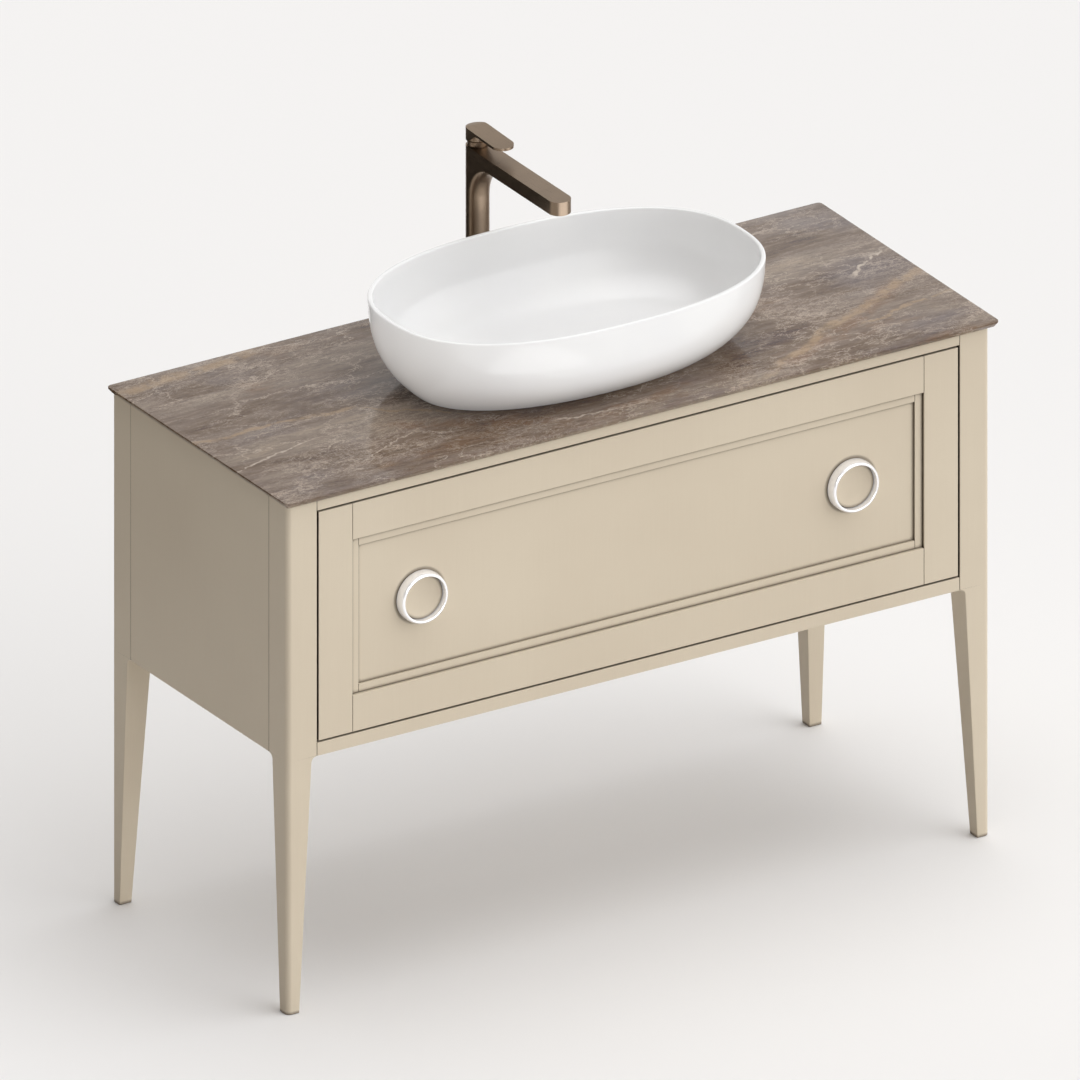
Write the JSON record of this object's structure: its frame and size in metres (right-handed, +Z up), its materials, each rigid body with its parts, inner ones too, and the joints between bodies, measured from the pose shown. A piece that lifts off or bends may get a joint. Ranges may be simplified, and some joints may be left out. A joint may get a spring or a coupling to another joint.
{
  "type": "vessel sink on vanity",
  "caption": "Wide vanity stand on tapered legs with a framed drawer, ring knobs, a thin stone worktop, an oval vessel basin and a tall single-lever tap.",
  "frame": {"origin": "on the floor, under the middle of the worktop in width and depth", "axes": "+X to the right seen from the front, +Y back to the wall, +Z up; the drawer opens towards -Y"},
  "size_m": [1.2, 0.485, 1.0853],
  "materials": {
    "paint": "satin cream-beige lacquer on board",
    "carcass": "pale matt laminate",
    "marble": "polished taupe marble with cream and rust veins",
    "ceramic": "glossy white glaze",
    "chrome": "bright chrome",
    "bronze": "brushed warm bronze",
    "brass": "turned brass",
    "steel": "zinc-plated steel",
    "plastic": "white moulded plastic"
  },
  "bodies": {
    "cabinet": {"countertop": "marble", "leg_front_left": "paint", "leg_front_right": "paint", "leg_rear_left": "paint", "leg_rear_right": "paint", "side_panel_left": "paint", "side_panel_right": "paint", "front_bottom_rail": "paint", "front_top_rail": "paint", "rear_bottom_rail": "paint", "rear_top_rail": "paint", "runner_fixed_left": "steel", "runner_fixed_right": "steel", "sink_basin": "ceramic", "drain_flange": "chrome", "drain_nut": "brass", "drain_tailpiece": "chrome", "trap_nut": "chrome", "trap_body": "chrome", "trap_cup": "chrome", "trap_outlet_pipe": "chrome", "wall_flange": "chrome", "faucet_body": "bronze", "faucet_shank": "brass", "faucet_nut": "brass", "inlet_hot": "brass", "inlet_cold": "brass", "aerator": "chrome", "cartridge": "plastic", "cartridge_nut": "brass"},
    "drawer": {"drawer_stile_left": "paint", "drawer_stile_right": "paint", "drawer_rail_bottom": "paint", "drawer_rail_top": "paint", "drawer_panel": "paint", "moulding_bottom": "paint", "moulding_right": "paint", "moulding_top": "paint", "moulding_left": "paint", "knob_ring_left": "chrome", "knob_ring_right": "chrome", "knob_dish_left": "paint", "knob_dish_right": "paint", "knob_screw_left": "steel", "knob_screw_right": "steel", "drawer_side_left": "carcass", "drawer_side_right": "carcass", "drawer_back_left": "carcass", "drawer_back_right": "carcass", "drawer_bottom": "carcass", "siphon_cutout_wall": "carcass", "runner_drawer_left": "steel", "runner_drawer_right": "steel"},
    "runner_mid": {"runner_middle_left": "steel", "runner_middle_right": "steel"},
    "lever_collar": {"lever_collar": "bronze"},
    "lever": {"lever_handle": "bronze", "lever_stem": "brass"},
    "drain_cap": {"drain_cap": "chrome"}
  },
  "joints": [
    {"name": "drawer_slide", "type": "slide", "parent": "cabinet", "child": "drawer", "axis": [0, -1, 0], "range_m": [0, 0.38]},
    {"name": "runner_slide", "type": "slide", "parent": "cabinet", "child": "runner_mid", "axis": [0, -1, 0], "range_m": [0, 0.19]},
    {"name": "lever_turn", "type": "hinge", "parent": "cabinet", "child": "lever_collar", "pos_m": [0, 0.2037, 1.057], "axis": [0, 0, 1], "range_deg": [-45, 45]},
    {"name": "lever_lift", "type": "hinge", "parent": "lever_collar", "child": "lever", "pos_m": [0, 0.2037, 1.043], "axis": [-1, 0, 0], "range_deg": [0, 20]},
    {"name": "drain_cap_lift", "type": "slide", "parent": "cabinet", "child": "drain_cap", "axis": [0, 0, 1], "range_m": [0, 0.008]}
  ],
  "couplings": [
    {"joint": "runner_slide", "follows": "drawer_slide", "ratio": 0.5}
  ]
}
